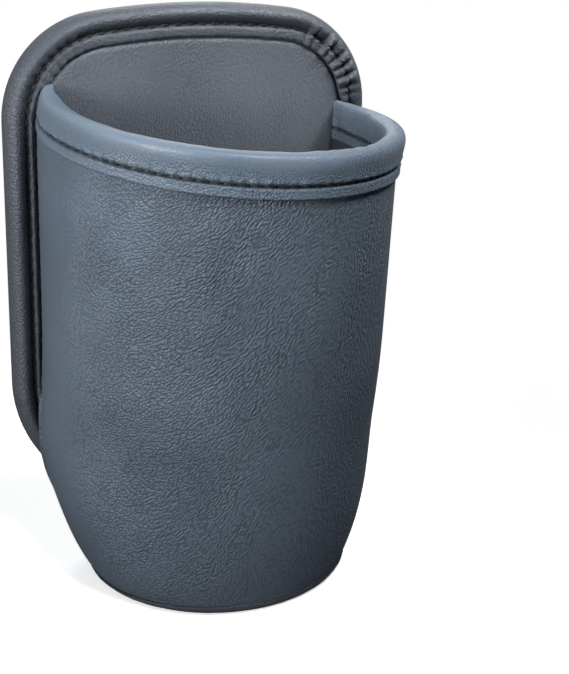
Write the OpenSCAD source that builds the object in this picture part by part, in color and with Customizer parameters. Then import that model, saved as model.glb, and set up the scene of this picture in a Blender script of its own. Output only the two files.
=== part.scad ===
// Car door cup holder: a stiffened leatherette pouch sewn onto a padded back panel.
// Millimetres, with heights in the sizes counted from the underside of the pouch.
// The origin is the middle of the mounting pad's face; the pouch stands out along -Y.

/* [Back panel] */
// Width of the panel over its bound edge
panel_w = 97.4; // [92:0.2:112]
// Height of the panel's top edge
panel_top = 142.8; // [138:0.2:160]
// Height of the panel's bottom edge
panel_bottom = 13; // [8:0.5:16]
// Radius of the two top corners
top_r = 26; // [23:0.5:32]
// Radius of the two bottom corners
bottom_r = 36; // [30:1:38]
// Radius of the slightly crowned top edge
crown_r = 200; // [180:10:600]
// Thickness of each leatherette layer
skin_t = 0.8; // [0.6:0.1:1]
// Thickness of the stiffener board
board_t = 1.4; // [1:0.1:3]
// Thickness of the foam under the facing
foam_t = 1.8; // [1:0.1:5]

/* [Edge binding] */
// Width of the binding strip from the panel's edge to its raw edge
band_w = 8.4; // [7.6:0.1:9]
// Width of the strip where the pouch comes out of the seam
sewn_w = 6.3; // [6.2:0.1:7.5]
// Distance of the stitch row from the panel's edge
stitch_in = 5; // [4.6:0.1:5.1]
// How far the rolled edge stands proud of the strip on each side
roll_puff = 0.4; // [0.2:0.1:1]
// Inset of the flat layers inside the rolled edge
core_in = 2.2; // [1.6:0.1:2.6]
// Number of puckers round the top right corner
right_puckers = 5; // [3:1:6]
// Depth of the puckers at the top right corner
right_pucker_d = 1.2; // [0:0.1:1.6]
// Number of puckers round the top left corner
left_puckers = 5; // [3:1:6]
// Depth of the puckers at the top left corner
left_pucker_d = 0.6; // [0:0.1:1.6]

/* [Pouch] */
// How far each side of the mouth swells past the seam
mouth_bulge = 1.3; // [0.6:0.1:4]
// Outside depth of the mouth, from the facing
mouth_d = 62.4; // [56:0.2:75]
// How far each side swells past the seam where the walls turn in to the base
knee_bulge = 2.5; // [1:0.1:4]
// Outside depth where the walls turn in to the base
knee_d = 52.6; // [48:0.2:65]
// Height of that turn
knee_h = 32.2; // [26:0.2:42]
// Fullness of the curve from the base to the turn
knee_round = 1.45; // [1.3:0.05:2.4]
// Outside width of the base
base_w = 63.8; // [60:0.2:76]
// Outside depth of the base, from the facing
base_d = 48.6; // [44:0.2:56]
// Width between the two sides of the wall at the base, where they would meet the facing
base_rear_w = 50; // [46:0.2:58]
// Gap between those sides and the widest part of the wall at the turn
knee_tuck = 0.4; // [0.3:0.1:2]
// Height of the rim at the left edge of the panel
rim_left_h = 125; // [116:0.5:128]
// Height of the rim at the front
rim_front_h = 118.5; // [112:0.5:128]
// Height of the rim at the right edge of the panel
rim_right_h = 117; // [112:0.5:128]
// Thickness of the stiff sheet inside the wall
core_t = 1.2; // [0.8:0.1:2]
// Thickness left where the wall is pressed flat in the seam, as a share
pinch_share = 0.5; // [0.4:0.05:1]
// Length of the pressed part of the wall, as a share of its way round
pinch_run = 0.08; // [0.04:0.01:0.15]

/* [Rim binding] */
// Height of the folded strip from its crest to its raw edges
rim_leg_h = 10.5; // [9.5:0.1:14]
// Distance of the stitch rows below the crest
rim_stitch_h = 7.3; // [6.4:0.1:8]
// How far the soft crest swells past the strip on each side
rim_puff = 0.4; // [0.1:0.1:0.8]
// Thickness of the strip over the top of the wall
rim_cap_t = 1.5; // [1:0.1:2.5]

/* [Stitching] */
// Distance from one stitch of the panel to the next
stitch_pitch = 3.4; // [2.8:0.1:5]
// Length of one stitch as a share of that distance
stitch_fill = 0.68; // [0.5:0.02:0.8]
// Width of the thread
thread_w = 0.8; // [0.5:0.1:0.9]
// Height of the thread above its groove
thread_h = 0.5; // [0.3:0.1:0.8]
// Depth of leather left under the thread
groove_t = 0.3; // [0.2:0.1:0.5]

/* [Base] */
// Height of the welt round the base
welt_h = 2; // [1.6:0.1:4]
// How far the welt stands out past the wall
welt_proud = 0.7; // [0.4:0.1:1.5]
// Thickness of the stiff board in the base
base_board_t = 1.5; // [1:0.1:3]

/* [Mounting pad] */
// Width of the adhesive foam pad
pad_w = 64; // [40:1:76]
// Height of the adhesive foam pad
pad_h = 84; // [50:1:104]
// Radius of the pad's corners
pad_r = 8; // [2:1:15]
// Thickness of the pad
pad_t = 2; // [1.6:0.1:4]

/* [Fit] */
// Clearance between the rim binding and the raw edge of the panel binding
seam_gap = 0.35; // [0.2:0.05:0.8]
// Clearance between the rear flap of the base and the rolled edge behind it
flap_gap = 0.3; // [0.1:0.05:0.8]
// Clearance round the boards in the base
board_gap = 0.1; // [0.05:0.05:0.4]

/* [Hidden] */

// Colours of the materials
slate = [0.33, 0.37, 0.42];
dark_slate = [0.25, 0.27, 0.31];
thread_grey = [0.14, 0.15, 0.17];
board_brown = [0.55, 0.45, 0.33];
foam_grey = [0.7, 0.7, 0.68];

// Planes of the panel's layers, from the mounting face forwards
cover_y = -pad_t;
board_y = cover_y - skin_t;
foam_y = board_y - board_t;
facing_back_y = foam_y - foam_t;
facing_y = facing_back_y - skin_t;
// Front of the sewn-in edge of the pouch, and of the binding strip over it
tuck_y = facing_y - skin_t;
strip_y = tuck_y - skin_t;
groove_y = tuck_y - groove_t;
mid_y = (cover_y + skin_t + strip_y) / 2;
roll_half = (cover_y + skin_t - strip_y) / 2 + roll_puff;
// Half width of the rolled edge, seen from the front
roll_in = 3.2;
// Half width of a stitch groove, and width of the slope beside it
groove_half = 0.5;
groove_bank = 0.6;
// Inset of the space for the pouch's sewn-in edge, and how far short of it that edge ends
tuck_in = 3.4;
tuck_play = 0.2;
// Gap under the strip where nothing is sewn in
press_gap = 0.02;
mount_h = (panel_top + panel_bottom) / 2;

// A quarter turn, from the direction of the panel's right edge to that of its top
quarter = 90;

// Centres of the arcs that make the panel's outline
bottom_cx = panel_w / 2 - bottom_r;
bottom_cz = panel_bottom + bottom_r;
top_cx = panel_w / 2 - top_r;
crown_a = asin(top_cx / (crown_r - top_r));
crown_cz = panel_top - crown_r;
top_cz = crown_cz + (crown_r - top_r) * cos(crown_a);
bottom_steps = 8;
crown_steps = 4;
steps_per_pucker = 4;

// Heights between which the rear edges of the wall come out from under the binding
leave_z = bottom_cz - 2;
tuck_z = leave_z + 8;
full_z = tuck_z + 4;
// How far below and above the pouch the strip already lies higher
lift_run = 8;
lift_over = 2.5;
// How far the wall stays inside the strip's raw edge, so that the rim binding clears it too
pinch_growth = 1.07;
seam_in = pinch_share * (skin_t + rim_puff) * pinch_growth + seam_gap;
seam_half = panel_w / 2 - sewn_w - seam_in;
// How far the wall's rear edge is turned out where it isn't sewn in
lip = 0.3;

// Front and back of the flap that closes the pouch below the panel
flap_back_y = mid_y - roll_half - flap_gap;
flap_y = flap_back_y - skin_t;
// Tab of the flap that is sewn to the facing: the slope up to it, its height and its width
tab_rise = 5;
tab_h = 8;
tab_side = 4.2;
tab_w = base_rear_w - 2 * tab_side;
flap_steps = 8;

wall_t = 2 * skin_t + core_t;
wall_steps = 28;
rim_z_mean = (rim_left_h + rim_right_h) / 2;

function lerp(a, b, f) = a + (b - a) * f;
function ease(f) = f * f * (3 - 2 * f);

// One station of the outline: centre, radius, direction and pucker depth
function arc(cx, r, cz, from, to, steps, puckers = 0, depth = 0) =
    [for (k = [0:steps]) let (f = k / steps)
        [cx, cz, r, lerp(from, to, f), depth * (1 - cos(360 * puckers * f)) / 2]];

stations = concat(
    arc(bottom_cx, bottom_r, bottom_cz, -quarter, 0, bottom_steps),
    arc(top_cx, top_r, top_cz, 0, quarter - crown_a, steps_per_pucker * right_puckers,
        right_puckers, right_pucker_d),
    [for (k = [1:crown_steps - 1])
        [0, crown_cz, crown_r, lerp(quarter - crown_a, quarter + crown_a, k / crown_steps), 0]],
    arc(-top_cx, top_r, top_cz, quarter + crown_a, 2 * quarter, steps_per_pucker * left_puckers,
        left_puckers, left_pucker_d),
    arc(-bottom_cx, bottom_r, bottom_cz, 2 * quarter, 3 * quarter, bottom_steps));

// Point of the outline moved in from the panel's edge
function inset_point(s, inset) =
    [s[0] + (s[2] - inset) * cos(s[3]), s[1] + (s[2] - inset) * sin(s[3])];

// Half width of the inset outline at a height
function panel_half(inset, z) =
    z < bottom_cz ? bottom_cx + sqrt(pow(bottom_r - inset, 2) - pow(bottom_cz - z, 2))
    : z > top_cz ? top_cx + sqrt(pow(top_r - inset, 2) - pow(z - top_cz, 2))
    : panel_w / 2 - inset;

// Height of the rim, from 0 at the left rear edge to 1 at the right one
function rim_z(f) = lerp(rim_left_h, rim_right_h, f) + (rim_front_h - rim_z_mean) * sin(2 * quarter * f);

// Outside width and depth of the pouch at a height
function swell(f) = pow(1 - pow(1 - min(f, 1), knee_round), 1 / knee_round);
function taper(z, knee, mouth) = lerp(knee, mouth, (z - knee_h) / (rim_front_h - knee_h));
function pouch_size(z, base, knee, mouth) =
    taper(z, knee, mouth) - (taper(0, knee, mouth) - base) * (1 - swell(z / knee_h));
function wall_half(z) =
    pouch_size(z, base_w / 2, seam_half + knee_bulge, seam_half + mouth_bulge);

// Half width of the wall where it meets the facing or would meet it, and where it is cut off
function leave_share(z) = max(0, min(1, (z - leave_z) / (tuck_z - leave_z)));
function rear_half(z) =
    z <= knee_h ? wall_half(z) - lerp((base_w - base_rear_w) / 2, knee_tuck, z / knee_h)
    : z <= leave_z
    ? lerp(wall_half(z) - knee_tuck, seam_half, ease((z - knee_h) / (leave_z - knee_h)))
    : panel_half(sewn_w, max(z, tuck_z)) - seam_in;
function rear_y(z) = lerp(flap_y, facing_y, leave_share(z));
function flap_corner(f, side) =
    let (z = (leave_z - board_gap) * (1 - cos(quarter * f)))
    [side * edge_half(max(z, welt_h)), z];
function edge_half(z) = wall_point(1, z, 0)[0] + lip;
function tip_half(z) = z < full_z ? edge_half(z) : panel_half(tuck_in + tuck_play, z);

// Share of its thickness that the wall has on the way from one rear edge to the other
function pinch(f) = lerp(pinch_share, 1, ease(min(min(f, 1 - f) / pinch_run, 1)));

// Point on the wall: an ellipse cut off by the panel, at depth t inside the outer face
function wall_point(f, z, t) =
    let (half = wall_half(z),
        in = t * pinch(f),
        cut = sqrt(1 - pow(rear_half(z) / half, 2)),
        semi = (pouch_size(z, base_d, knee_d, mouth_d) - skin_t) / (1 + cut),
        mid = tuck_y - semi * cut,
        end = asin((mid - rear_y(z) + (t > 0 ? 0 : skin_t)) / (semi - in)),
        turn = lerp(180 - end, end, f))
    [(half - in) * cos(turn), mid - (semi - in) * sin(turn), z];

// Heights of the wall's rows: fixed near the base, close together where it curves most,
// and following the rim higher up
row_shares = [0, 0.1, 0.25, 0.45, 0.7, 1];
low_rows = concat([for (f = row_shares) lerp(welt_h, leave_z, f)], [tuck_z, full_z]);
high_steps = 2;
row_count = len(low_rows) + high_steps + 1;
function row_z(j, f) =
    j < len(low_rows) ? low_rows[j]
    : j == row_count - 1 ? rim_z(f) - rim_cap_t
    : lerp(full_z, rim_z(f) - rim_leg_h, (j - len(low_rows) + 1) / high_steps);

// Point of the rim binding: s below the crest, t inside the wall's outer face
function rim_point(f, s, t) =
    let (low = wall_point(f, row_z(row_count - 2, f), t),
        top = wall_point(f, row_z(row_count - 1, f), t))
    lerp(top, low, (s - rim_cap_t) / (rim_leg_h - rim_cap_t));

// Triangles between two neighbouring loops, split the same way on both faces of a wall
function side_faces(j, next, n, half) =
    [for (k = [0:n - 1])
        let (a = j * n + k, b = j * n + (k + 1) % n, c = next * n + (k + 1) % n, d = next * n + k)
        each k < half ? [[a, c, b], [a, d, c]] : [[a, d, b], [b, d, c]]];

// Closes a row of equal loops into one solid
module skin(loops, caps, half) {
    n = len(loops[0]);
    last = len(loops) - 1;
    polyhedron(
        points = [for (l = loops) each l],
        faces = concat(
            [for (j = [0:last - 1]) each side_faces(j, j + 1, n, half)],
            len(caps) == 0 ? side_faces(last, 0, n, half) : [],
            [for (c = caps) [c[0], c[1], c[2]]],
            [for (c = caps) [last * n + c[2], last * n + c[1], last * n + c[0]]]));
}

// Cap triangles of a loop that runs out along one face and back along the other
function strip_caps(n) =
    [for (k = [0:n / 2 - 2]) each [[k, k + 1, n - 2 - k], [k, n - 2 - k, n - 1 - k]]];

// Moves a piece drawn above the table to the mounting face
module placed() {
    translate([0, 0, -mount_h]) children();
}

// Flat layer of the panel, from the plane y forwards
module panel_layer(inset, y, t) {
    placed() translate([0, y, 0]) rotate([90, 0, 0]) linear_extrude(t)
        polygon([for (s = stations) inset_point(s, inset)]);
}

// One closed layer of the wall between two depths, with sewn-in edges if asked for
module wall_layer(t0, t1, tucked = false) {
    fs = [for (i = [0:wall_steps]) i / wall_steps];
    rows = [for (j = [0:row_count - 1])
        let (zl = row_z(j, 0),
            zr = row_z(j, 1),
            outer = [for (f = fs) wall_point(f, row_z(j, f), t0)],
            inner = [for (i = [wall_steps:-1:0]) wall_point(fs[i], row_z(j, fs[i]), t1)])
        tucked
        ? concat([[-tip_half(zl), rear_y(zl) - skin_t, zl]], outer,
            [[tip_half(zr), rear_y(zr) - skin_t, zr], [tip_half(zr), rear_y(zr), zr]], inner,
            [[-tip_half(zl), rear_y(zl), zl]])
        : concat(outer, inner)];
    n = len(rows[0]);
    placed() skin(rows, strip_caps(n), n / 2);
}

// Outline of the base at a depth inside the wall's outer face
function base_outline(t) = [for (i = [0:wall_steps]) wall_point(i / wall_steps, welt_h, t)];
function flat(points) = [for (p = points) [p[0], p[1]]];

// One stitch of the panel, lying on the groove
module stitch(x, z, turn) {
    translate([x, groove_y - thread_h / 2, z]) rotate([0, -turn, 0])
        cube([thread_w, thread_h, stitch_pitch * stitch_fill], center = true);
}

module stitch_arc(cx, cz, r, from, to) {
    count = round(r * (to - from) * PI / 180 / stitch_pitch);
    for (k = [0.5:count - 0.5]) {
        turn = lerp(from, to, k / count);
        stitch(cx + r * cos(turn), cz + r * sin(turn), turn);
    }
}

module stitch_line(x0, z0, x1, z1, turn) {
    count = round(norm([x1 - x0, z1 - z0]) / stitch_pitch);
    for (k = [0.5:count - 0.5])
        stitch(lerp(x0, x1, k / count), lerp(z0, z1, k / count), turn);
}

// Row of stitches in a groove of the rim, two on each facet but one on the two in the seam
module rim_stitches(t, side) {
    up = rim_stitch_h - thread_w / 2;
    down = rim_stitch_h + thread_w / 2;
    for (k = [1:2 * wall_steps - 2]) {
        i = floor(k / 2);
        half = k % 2;
        a = rim_point(i / wall_steps, up, t);
        b = rim_point((i + 1) / wall_steps, up, t);
        c = rim_point((i + 1) / wall_steps, down, t);
        d = rim_point(i / wall_steps, down, t);
        from = (half + (1 - stitch_fill) / 2) / 2;
        to = from + stitch_fill / 2;
        foot = [lerp(a, b, from), lerp(a, b, to), lerp(d, c, to), lerp(d, c, from)];
        out = cross(d - a, b - a);
        rise = out * (side * thread_h / norm(out));
        top = [for (p = foot) p + rise];
        skin(side > 0 ? [top, foot] : [foot, top], strip_caps(4), 4);
    }
}

module mounting_pad() {
    color(foam_grey) rotate([90, 0, 0]) linear_extrude(pad_t)
        union() {
            square([pad_w - 2 * pad_r, pad_h], center = true);
            square([pad_w, pad_h - 2 * pad_r], center = true);
            for (sx = [-1, 1], sz = [-1, 1])
                translate([sx * (pad_w / 2 - pad_r), sz * (pad_h / 2 - pad_r)])
                    circle(r = pad_r, $fn = 48);
        }
}

module rear_cover() {
    color(dark_slate) panel_layer(core_in, cover_y, skin_t);
}

module back_board() {
    color(board_brown) panel_layer(core_in, board_y, board_t);
}

module back_foam() {
    color(foam_grey) panel_layer(core_in, foam_y, foam_t);
}

module back_facing() {
    color(dark_slate) panel_layer(core_in, facing_back_y, skin_t);
}

// True where the strip lies over the pouch's sewn-in edge
function lifted(s) =
    let (p = inset_point(s, band_w),
        f = p[0] < 0 ? 0 : 1)
    p[1] > tuck_z - lift_run && p[1] < row_z(row_count - 1, f) + lift_over;

// Section of the binding at a station: [inset, y]
function binding_section(pucker, front_w, under_y) = concat(
    [[band_w, cover_y], [band_w, cover_y + skin_t], [stitch_in + groove_half, cover_y + skin_t]],
    [for (turn = [90:30:270])
        [roll_in + roll_in * cos(turn),
            mid_y + roll_half * sin(turn) + pucker * pow(max(0, -sin(turn)), 3)]],
    [[stitch_in - groove_half, groove_y], [stitch_in + groove_half, groove_y],
        [stitch_in + groove_half + groove_bank, strip_y], [front_w, strip_y],
        [front_w, under_y], [tuck_in, under_y], [tuck_in, facing_y],
        [core_in, facing_y], [core_in, cover_y]]);

module edge_binding() {
    loops = [for (s = stations)
        let (sewn = lifted(s),
            front_w = sewn ? sewn_w : band_w,
            under_y = sewn ? tuck_y : facing_y - press_gap)
        [for (q = binding_section(s[4], front_w, under_y))
            let (p = inset_point(s, q[0])) [p[0], q[1], p[1]]]];
    color(slate) placed() skin(loops, [], len(loops[0]));
}

module edge_stitching() {
    side_x = panel_w / 2 - stitch_in;
    bottom_z = panel_bottom + stitch_in;
    color(thread_grey) placed() {
        stitch_line(side_x, bottom_cz, side_x, top_cz, 0);
        stitch_line(-side_x, top_cz, -side_x, bottom_cz, 0);
        stitch_line(-bottom_cx, bottom_z, bottom_cx, bottom_z, quarter);
        stitch_arc(bottom_cx, bottom_cz, bottom_r - stitch_in, -quarter, 0);
        stitch_arc(top_cx, top_cz, top_r - stitch_in, 0, quarter - crown_a);
        stitch_arc(0, crown_cz, crown_r - stitch_in, quarter - crown_a, quarter + crown_a);
        stitch_arc(-top_cx, top_cz, top_r - stitch_in, quarter + crown_a, 2 * quarter);
        stitch_arc(-bottom_cx, bottom_cz, bottom_r - stitch_in, 2 * quarter, 3 * quarter);
    }
}

module sleeve_outer() {
    color(slate) wall_layer(0, skin_t, true);
}

module sleeve_core() {
    color(board_brown) wall_layer(skin_t, skin_t + core_t);
}

module sleeve_lining() {
    color(dark_slate) wall_layer(skin_t + core_t, wall_t);
}

// One leg of the folded strip from its raw edge up to the crest: [s, swelling]
rim_leg = [[rim_leg_h, skin_t], [rim_stitch_h + groove_half + groove_bank, skin_t],
    [rim_stitch_h + groove_half, groove_t], [rim_stitch_h - groove_half, groove_t],
    [0.62 * rim_stitch_h, skin_t + 0.7 * rim_puff], [0.32 * rim_stitch_h, skin_t + rim_puff],
    [0.09 * rim_stitch_h, 0.4 * skin_t]];
rim_caps = [[18, 0, 1], [18, 1, 2], [18, 2, 3], [18, 3, 17], [17, 3, 4], [17, 4, 5], [17, 5, 6],
    [17, 6, 7], [17, 7, 16], [16, 7, 8], [16, 8, 9], [16, 9, 10], [16, 10, 11], [16, 11, 15],
    [15, 11, 12], [15, 12, 13], [15, 13, 14]];

module rim_binding() {
    section = concat(
        [for (q = rim_leg) [q[0], -q[1]]],
        [[0, wall_t / 2]],
        [for (k = [len(rim_leg) - 1:-1:0]) [rim_leg[k][0], wall_t + rim_leg[k][1]]],
        [[rim_leg_h, wall_t], [rim_cap_t, wall_t], [rim_cap_t, 0], [rim_leg_h, 0]]);
    loops = [for (i = [0:wall_steps]) [for (q = section) rim_point(i / wall_steps, q[0], q[1])]];
    color(slate) placed() skin(loops, rim_caps, len(section) - 2);
}

module rim_stitching_outer() {
    color(thread_grey) placed() rim_stitches(-groove_t, 1);
}

module rim_stitching_inner() {
    color(thread_grey) placed() rim_stitches(wall_t + groove_t, -1);
}

// Leatherette underside, turned up behind the pouch and sewn to the facing
module base_outer() {
    color(slate) placed() {
        linear_extrude(skin_t) polygon(flat(base_outline(wall_t)));
        translate([0, flap_back_y, 0]) rotate([90, 0, 0]) linear_extrude(skin_t)
            polygon(concat(
                [for (k = [0:flap_steps]) flap_corner(k / flap_steps, 1)],
                [for (k = [flap_steps:-1:0]) flap_corner(k / flap_steps, -1)]));
        translate([-tab_w / 2, 0, 0]) rotate([90, 0, 90]) linear_extrude(tab_w)
            polygon([[flap_y - skin_t, 0], [flap_back_y, 0], [flap_back_y, leave_z],
                [facing_y, leave_z + tab_rise], [facing_y, leave_z + tab_rise + tab_h],
                [tuck_y, leave_z + tab_rise + tab_h], [tuck_y, leave_z + tab_rise],
                [flap_y, leave_z], [flap_y, skin_t], [flap_y - skin_t, skin_t]]);
    }
}

module base_welt() {
    rim = base_outline(-welt_proud);
    bore = base_outline(wall_t);
    color(dark_slate) placed() linear_extrude(welt_h)
        polygon(flat(concat(rim, [for (i = [wall_steps:-1:0]) bore[i]])));
}

module base_board() {
    color(board_brown) placed() translate([0, 0, skin_t]) linear_extrude(base_board_t)
        polygon(flat(base_outline(wall_t + board_gap)));
}

module base_lining() {
    color(dark_slate) placed() translate([0, 0, skin_t + base_board_t]) linear_extrude(skin_t)
        polygon(flat(base_outline(wall_t + board_gap)));
}

mounting_pad();
rear_cover();
back_board();
back_foam();
back_facing();
edge_binding();
edge_stitching();
sleeve_outer();
sleeve_core();
sleeve_lining();
rim_binding();
rim_stitching_outer();
rim_stitching_inner();
base_outer();
base_welt();
base_board();
base_lining();
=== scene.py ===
import math

import bpy
import numpy as np
from mathutils import Matrix, Vector


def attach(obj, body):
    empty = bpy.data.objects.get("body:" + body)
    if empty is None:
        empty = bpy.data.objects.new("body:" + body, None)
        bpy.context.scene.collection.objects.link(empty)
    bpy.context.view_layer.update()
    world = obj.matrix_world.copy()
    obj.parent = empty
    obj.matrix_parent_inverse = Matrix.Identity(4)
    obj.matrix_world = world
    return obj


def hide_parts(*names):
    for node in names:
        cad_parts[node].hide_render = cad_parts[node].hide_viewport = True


# Car door cup holder: stitched leatherette pouch on a padded, bound back panel.
# Sizes are in millimetres, heights from the underside of the pouch, y towards the door.
# s is a length along the panel's outline, f runs from 0 to 1 round the wall, t is the depth inside
# its outer face, and a value that ends in At is the middle and width of a bump.

mm = 0.001
padMiddle = 77.9  # height of the mounting pad's middle, the origin

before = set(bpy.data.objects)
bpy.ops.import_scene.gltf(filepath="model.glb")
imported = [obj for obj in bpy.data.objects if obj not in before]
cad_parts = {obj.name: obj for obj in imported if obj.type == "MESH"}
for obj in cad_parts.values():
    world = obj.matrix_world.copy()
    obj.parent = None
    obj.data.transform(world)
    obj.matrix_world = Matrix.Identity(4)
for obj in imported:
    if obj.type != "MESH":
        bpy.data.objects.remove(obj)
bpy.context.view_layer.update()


def smoothStep(x):  # 0 below 0, 1 above 1, eased between
    x = np.clip(x, 0, 1)
    return x * x * (3 - 2 * x)


def bump(x, middle, width):  # bell curve round a middle
    return np.exp(-((x - middle) / width) ** 2)


def noise1(x, seed, count=9):  # sum of sines of mixed lengths, about -1 to 1
    rng = np.random.default_rng(seed)
    out = np.zeros_like(x, dtype=float)
    for k in range(count):
        out = out + np.sin(x * (0.6 + 0.5 * k) + rng.uniform(0, 6.3)) / (1 + 0.35 * k)
    return out / 3.2


def noise2(x, y, seed, count=14):  # sum of plane waves in mixed directions, about -1 to 1
    rng = np.random.default_rng(seed)
    out = np.zeros(np.broadcast(x, y).shape)
    for k in range(count):
        turn, size, start = rng.uniform(0, 6.3), 0.5 + 0.18 * k, rng.uniform(0, 6.3)
        wave = np.sin(size * (x * math.cos(turn) + y * math.sin(turn)) + start)
        out = out + wave / (1 + 0.2 * k)
    return out / 3.0


def lengthAlong(points):  # length of a line of points, up to each of them
    return np.concatenate([[0], np.cumsum(np.linalg.norm(np.diff(points, axis=0), axis=1))])


def curvePath(points, count, closed=False, fineness=24):
    # Catmull-Rom curve through the points, resampled at even steps of length
    p = np.asarray(points, float)
    if closed:
        q = np.vstack([p[-1:], p, p[:2]])
        spans = len(p)
    else:
        q = np.vstack([2 * p[:1] - p[1:2], p, 2 * p[-1:] - p[-2:-1]])
        spans = len(p) - 1
    t = np.linspace(0, 1, fineness, endpoint=False)[None, :, None]
    a, b, c, d = (q[k:k + spans][:, None, :] for k in range(4))
    fine = 0.5 * (2 * b + (c - a) * t + (2 * a - 5 * b + 4 * c - d) * t ** 2
                  + (3 * b - a - 3 * c + d) * t ** 3)
    fine = fine.reshape(-1, p.shape[1])
    fine = np.vstack([fine, p[:1] if closed else p[-1:]])
    run = lengthAlong(fine)
    at = np.linspace(0, run[-1], count + 1)[:-1] if closed else np.linspace(0, run[-1], count)
    return np.stack([np.interp(at, run, fine[:, k]) for k in range(p.shape[1])], 1)


def gridFaces(rows, columns, wrapRows, wrapColumns):
    # corner indices of the quads between neighbouring points of a grid
    r = np.arange(rows if wrapRows else rows - 1)
    c = np.arange(columns if wrapColumns else columns - 1)
    r, c = np.meshgrid(r, c, indexing="ij")
    r2, c2 = (r + 1) % rows, (c + 1) % columns
    corners = [r * columns + c, r * columns + c2, r2 * columns + c2, r2 * columns + c]
    return np.stack(corners, -1).reshape(-1, 4)


def endCaps(rows, columns):  # quads across the first and the last section of a tube
    k = np.arange(columns // 2 - 1)
    cap = np.stack([k, k + 1, columns - 2 - k, columns - 1 - k], 1)
    return [cap[:, ::-1], cap + (rows - 1) * columns]


def loopFaces(grid, wrapRows=False):
    # a closed section at each row; open ends are closed across the section
    rows, columns = grid.shape[:2]
    return [gridFaces(rows, columns, wrapRows, True)] + ([] if wrapRows else endCaps(rows, columns))


def polarFaces(grid):
    # rows run round a middle; two more points after the grid close its first and last column
    rows, columns = grid.shape[:2]
    first, last = rows * columns, rows * columns + 1
    here = np.arange(rows) * columns
    after = (np.arange(rows) + 1) % rows * columns
    return [gridFaces(rows, columns, True, False),
            np.stack([np.full(rows, first), here, after], 1),
            np.stack([np.full(rows, last), after + columns - 1, here + columns - 1], 1)]


def outAndBack(first, second):  # columns run out over one face and back over the other
    return np.concatenate([first, second[:, ::-1]], 1)


def newObject(name, data):
    thing = bpy.data.objects.new(name, data)
    bpy.context.scene.collection.objects.link(thing)
    return thing


def volumeOf(mesh):  # six times the closed mesh's volume, negative if inside out
    mesh.calc_loop_triangles()
    tri = np.zeros(len(mesh.loop_triangles) * 3, np.int32)
    mesh.loop_triangles.foreach_get("vertices", tri)
    co = np.zeros(len(mesh.vertices) * 3)
    mesh.vertices.foreach_get("co", co)
    a, b, c = (co.reshape(-1, 3)[tri.reshape(-1, 3)[:, k]] for k in range(3))
    return float(np.einsum("ij,ij->i", a, np.cross(b, c)).sum())


def makeMesh(name, points, faces, material, nodes, grainMap=None, grain=1.0, shade=0.0):
    # points in mm from the pouch's underside; grainMap is the place on the flat hide, in mm
    mesh = bpy.data.meshes.new(name)
    co = np.array(points, float).reshape(-1, 3)
    co[:, 2] -= padMiddle
    co *= mm
    parts = [np.asarray(f, np.int32) for f in faces if len(f)]
    corners = np.concatenate([f.reshape(-1) for f in parts])
    totals = np.concatenate([np.full(len(f), f.shape[1], np.int32) for f in parts])
    starts = np.concatenate([[0], np.cumsum(totals)[:-1]]).astype(np.int32)
    mesh.vertices.add(len(co))
    mesh.vertices.foreach_set("co", co.reshape(-1).astype(np.float32))
    mesh.loops.add(len(corners))
    mesh.loops.foreach_set("vertex_index", corners.astype(np.int32))
    mesh.polygons.add(len(totals))
    mesh.polygons.foreach_set("loop_start", starts)
    mesh.polygons.foreach_set("loop_total", totals)
    mesh.polygons.foreach_set("use_smooth", np.full(len(totals), True))
    if grainMap is not None:
        layer = mesh.uv_layers.new(name="leatherMap")
        flat = np.asarray(grainMap, float).reshape(-1, 2)[corners] * mm
        layer.data.foreach_set("uv", flat.astype(np.float32).reshape(-1))
        # seamShade is painted shade: the leather's colour is darkened where it is high
        for key, values in {"grainShare": grain, "seamShade": shade}.items():
            layer = mesh.attributes.new(key, "FLOAT", "POINT")
            values = np.broadcast_to(np.asarray(values, np.float32).reshape(-1), (len(co),))
            layer.data.foreach_set("value", np.ascontiguousarray(values))
    mesh.update(calc_edges=True)
    mesh.validate()
    if volumeOf(mesh) < 0:
        mesh.flip_normals()
    mesh.materials.append(material)
    thing = newObject(name, mesh)
    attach(thing, "root")
    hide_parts(*nodes)
    return thing


def fromHex(code):  # sRGB hex to a linear colour
    c = np.array([int(code[k:k + 2], 16) / 255 for k in (1, 3, 5)])
    c = np.where(c <= 0.04045, c / 12.92, ((c + 0.055) / 1.055) ** 2.4)
    return (*c, 1.0)


def addNode(tree, kind, inputs=None, links=None, **settings):
    # one node with its settings, socket values and links from earlier nodes
    node = tree.nodes.new(kind)
    for key, value in settings.items():
        setattr(node, key, value)
    for key, value in (inputs or {}).items():
        node.inputs[key].default_value = value
    for key, source in (links or {}).items():
        tree.links.new(source, node.inputs[key])
    return node


def perMetre(size):  # pattern scale for a feature of this many millimetres
    return 1000 / size


def noiseNode(tree, size, place, detail=1.0, roughness=0.5, distortion=0.0):
    inputs = {"Scale": perMetre(size), "Detail": detail, "Roughness": roughness,
              "Distortion": distortion}
    return addNode(tree, "ShaderNodeTexNoise", inputs, {"Vector": place})


def calc(tree, operation, *terms):  # arithmetic on sockets and plain numbers
    plain = {k: term for k, term in enumerate(terms) if isinstance(term, (int, float))}
    linked = {k: term for k, term in enumerate(terms) if k not in plain}
    return addNode(tree, "ShaderNodeMath", plain, linked, operation=operation).outputs[0]


def remap(tree, source, fromLow, fromHigh, toLow, toHigh, ease="LINEAR"):
    # one range of values mapped on another, held at its ends
    inputs = {"From Min": fromLow, "From Max": fromHigh, "To Min": toLow, "To Max": toHigh}
    return addNode(tree, "ShaderNodeMapRange", inputs, {"Value": source},
                   interpolation_type=ease).outputs[0]


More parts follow.
